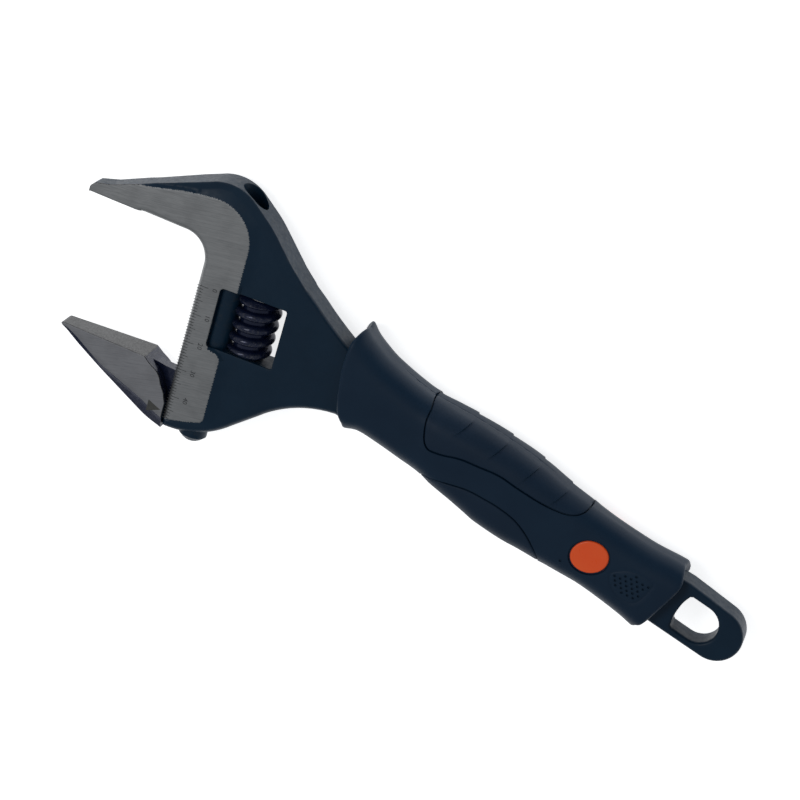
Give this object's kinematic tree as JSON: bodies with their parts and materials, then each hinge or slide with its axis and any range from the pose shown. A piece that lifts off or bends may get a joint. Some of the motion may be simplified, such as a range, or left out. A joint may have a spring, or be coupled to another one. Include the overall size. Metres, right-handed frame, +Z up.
{
  "type": "adjustable wrench",
  "caption": "Adjustable wrench with thin, wide-opening smooth jaws, a thumb worm, a two-part moulded grip and a hanging end.",
  "frame": {"origin": "middle of the bounding box at its bottom, with the wrench lying on its grip and the jaws set to 46 mm", "axes": "+X along the handle towards the hanging end, +Y towards the fixed jaw's side, +Z up out of the face"},
  "size_m": [0.255, 0.0872, 0.022],
  "materials": {
    "forged_black": "black electrophoretic coat, bare ground steel on the lands",
    "jaw_steel": "ground steel, flanks left black",
    "worm_black": "satin black",
    "pin_steel": "turned steel",
    "spring_steel": "drawn wire",
    "grip_shell": "satin moulded plastic",
    "soft_pad": "matt soft moulding",
    "badge": "glossy orange"
  },
  "bodies": {
    "body": {"body": "forged_black", "worm_pin": "pin_steel", "worm_spring": "spring_steel", "grip_sleeve": "grip_shell", "upper_pad": "soft_pad", "lower_pad": "soft_pad", "front_badge": "badge", "back_badge": "badge"},
    "jaw": {"movable_jaw": "jaw_steel"},
    "worm": {"worm": "worm_black"}
  },
  "joints": [
    {"name": "worm_spin", "type": "hinge", "parent": "body", "child": "worm", "pos_m": [-0.05856, 0.00501, 0.011], "axis": [-0.2588, 0.9659, 0], "range_deg": [-3760, 330]},
    {"name": "jaw_slide", "type": "slide", "parent": "body", "child": "jaw", "axis": [0.2588, -0.9659, 0], "range_m": [-0.0459, 0.004]}
  ],
  "couplings": [
    {"joint": "worm_spin", "follows": "jaw_slide", "rad_per_m": 1428}
  ]
}
